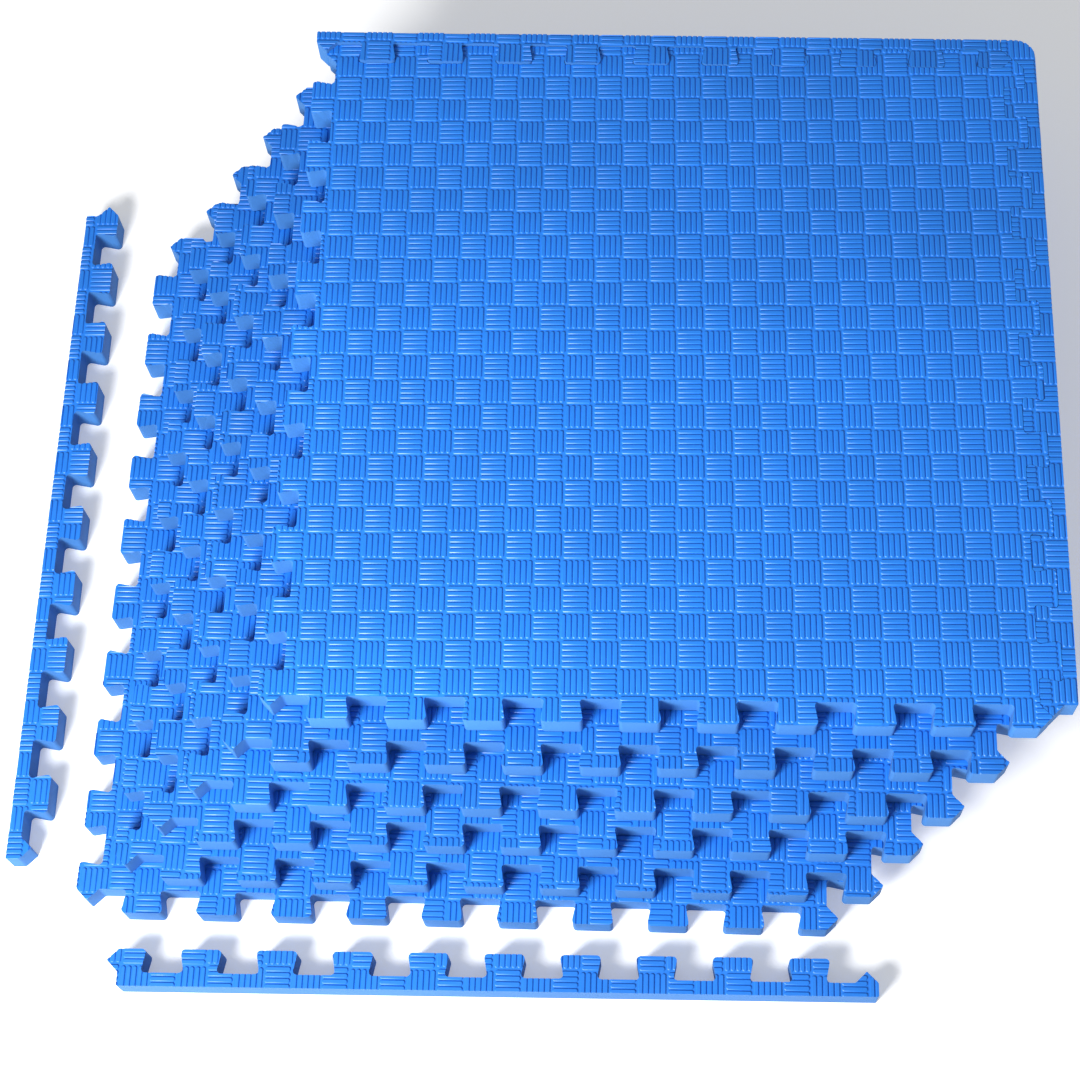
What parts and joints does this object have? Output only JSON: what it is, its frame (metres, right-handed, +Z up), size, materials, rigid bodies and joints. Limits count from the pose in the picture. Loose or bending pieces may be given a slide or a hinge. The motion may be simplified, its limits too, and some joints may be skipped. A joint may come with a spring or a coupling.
{
  "type": "interlocking foam floor mat set",
  "caption": "Stack of square interlocking foam floor mats with toothed edges and a basket-weave top, with straight and corner border strips.",
  "frame": {"origin": "centre of the bottom mat's underside, where the stack rests on the floor", "axes": "+Z up, through the mats' thickness; +X to the right along the bottom mat's front side; +Y to the back, away from the loose front border"},
  "size_m": [0.869, 0.8301, 0.1587],
  "materials": {
    "mat_foam": "matt closed-cell EVA foam with an embossed basket weave",
    "border_foam": "matt closed-cell EVA foam with an embossed basket weave"
  },
  "bodies": {
    "mat_bottom": {"mat_bottom": "mat_foam"},
    "mat_fifth": {"mat_fifth": "mat_foam"},
    "mat_fourth": {"mat_fourth": "mat_foam"},
    "mat_third": {"mat_third": "mat_foam"},
    "mat_second": {"mat_second": "mat_foam"},
    "mat_top": {"mat_top": "mat_foam"},
    "border_right": {"border_right": "border_foam"},
    "border_back": {"border_back": "border_foam"},
    "loose_border_front": {"loose_border_front": "border_foam"},
    "loose_border_left": {"loose_border_left": "border_foam"}
  },
  "joints": [
    {"name": "mat_fifth_lift", "type": "slide", "parent": "mat_bottom", "child": "mat_fifth", "axis": [0, 0, 1], "range_m": [0, 0.08]},
    {"name": "mat_fourth_lift", "type": "slide", "parent": "mat_fifth", "child": "mat_fourth", "axis": [0, 0, 1], "range_m": [0, 0.08]},
    {"name": "mat_third_lift", "type": "slide", "parent": "mat_fourth", "child": "mat_third", "axis": [0, 0, 1], "range_m": [0, 0.08]},
    {"name": "mat_second_lift", "type": "slide", "parent": "mat_third", "child": "mat_second", "axis": [0, 0, 1], "range_m": [0, 0.08]},
    {"name": "mat_top_lift", "type": "slide", "parent": "mat_second", "child": "mat_top", "axis": [0, 0, 1], "range_m": [0, 0.08]},
    {"name": "border_right_lift", "type": "slide", "parent": "mat_top", "child": "border_right", "axis": [0, 0, 1], "range_m": [0, 0.06]},
    {"name": "border_back_lift", "type": "slide", "parent": "mat_top", "child": "border_back", "axis": [0, 0, 1], "range_m": [0, 0.06]},
    {"name": "loose_border_front_lift", "type": "slide", "parent": "mat_bottom", "child": "loose_border_front", "axis": [0, 0, 1], "range_m": [0, 0.06]},
    {"name": "loose_border_left_lift", "type": "slide", "parent": "mat_bottom", "child": "loose_border_left", "axis": [0, 0, 1], "range_m": [0, 0.06]}
  ]
}
